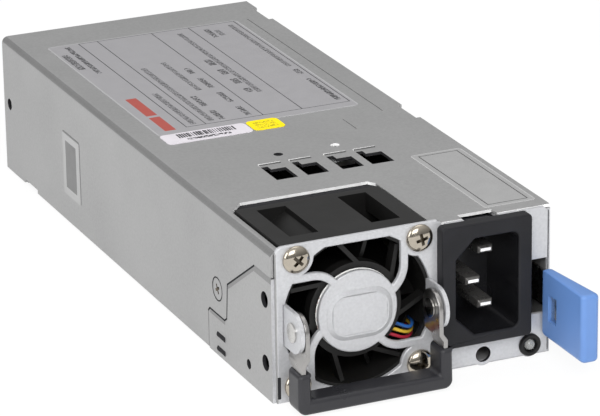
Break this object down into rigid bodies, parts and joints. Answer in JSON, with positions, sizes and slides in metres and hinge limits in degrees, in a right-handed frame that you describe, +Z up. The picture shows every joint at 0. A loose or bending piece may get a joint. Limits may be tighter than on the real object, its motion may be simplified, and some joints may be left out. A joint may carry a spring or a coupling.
{
  "type": "hot swap server power supply",
  "caption": "Slim sheet-metal power supply module with a fan, mains inlet, hinged pull handle and a sprung release latch at one end.",
  "frame": {"origin": "middle of the case's base on the face it rests on", "axes": "+Y towards the end that plugs into the server, +Z up, +X to the right for someone who looks at the handle end"},
  "size_m": [0.0755, 0.2145, 0.0395],
  "materials": {
    "zinc_sheet": "satin",
    "tray_sheet": "satin",
    "guard_sheet": "satin",
    "nickel": "polished",
    "dark_plastic": "matte",
    "grip_plastic": "matte",
    "blue_plastic": "matte",
    "inlet_plastic": "matte",
    "spring_steel": "satin",
    "iron": "matte",
    "ferrite": "matte",
    "copper_wire": "gloss",
    "bronze": "satin",
    "gold": "polished",
    "board_green": "satin",
    "film": "satin",
    "can_sleeve": "satin",
    "yellow_plastic": "satin",
    "black_epoxy": "matte",
    "white_plastic": "satin",
    "heatsink_metal": "satin",
    "clear_plastic": "polished",
    "red_wire": "satin",
    "yellow_wire": "satin",
    "blue_wire": "satin",
    "green_wire": "satin",
    "brown_wire": "satin"
  },
  "bodies": {
    "chassis": {"base_tray": "tray_sheet", "board_screws": "nickel", "board_standoffs": "bronze", "boost_choke_core": "ferrite", "boost_choke_winding": "copper_wire", "bridge_rectifier": "black_epoxy", "bulk_capacitor": "can_sleeve", "case_screws": "nickel", "control_card": "board_green", "control_chips": "black_epoxy", "driver_transformer": "ferrite", "ear_rivets": "nickel", "edge_contacts": "gold", "fan_bearing": "bronze", "fan_frame": "dark_plastic", "fan_guard": "guard_sheet", "fan_header": "white_plastic", "fan_lead_blue": "blue_wire", "fan_lead_red": "red_wire", "fan_lead_yellow": "yellow_wire", "fan_screws": "nickel", "fan_stator": "iron", "filter_capacitor": "yellow_plastic", "front_panel": "guard_sheet", "inlet_housing": "inlet_plastic", "inlet_lead_earth": "green_wire", "inlet_lead_line": "brown_wire", "inlet_lead_neutral": "blue_wire", "inlet_pin_earth": "nickel", "inlet_pin_line": "nickel", "inlet_pin_neutral": "nickel", "input_fuse": "white_plastic", "insulating_sheet": "film", "latch_rivets": "nickel", "latch_root": "spring_steel", "led_holder": "dark_plastic", "line_choke_core": "ferrite", "line_choke_winding": "copper_wire", "main_board": "board_green", "output_capacitors": "heatsink_metal", "output_heatsink": "heatsink_metal", "power_switches": "black_epoxy", "primary_heatsink": "heatsink_metal", "rear_panel": "zinc_sheet", "relay": "black_epoxy", "resonant_choke": "ferrite", "status_led": "clear_plastic", "top_cover": "zinc_sheet", "transformer_core": "ferrite", "transformer_winding": "yellow_plastic"},
    "fan_spinner": {"fan_rotor": "dark_plastic", "rotor_magnet": "ferrite", "fan_shaft": "spring_steel"},
    "handle": {"handle_bail": "spring_steel", "handle_grip": "grip_plastic"},
    "latch": {"latch_leaf": "spring_steel", "latch_tab": "blue_plastic"}
  },
  "joints": [
    {"name": "fan_spin", "type": "hinge", "parent": "chassis", "child": "fan_spinner", "pos_m": [-0.0148, -0.08, 0.02], "axis": [0, 1, 0], "continuous": true},
    {"name": "handle_swing", "type": "hinge", "parent": "chassis", "child": "handle", "pos_m": [-0.0148, -0.0974, 0.0198], "axis": [-1, 0, 0], "range_deg": [0, 100]},
    {"name": "latch_press", "type": "hinge", "parent": "chassis", "child": "latch", "pos_m": [0.0348, -0.0505, 0.0173], "axis": [0, 0, -1], "range_deg": [0, 3.7], "stiffness_Nm_per_rad": 3}
  ]
}
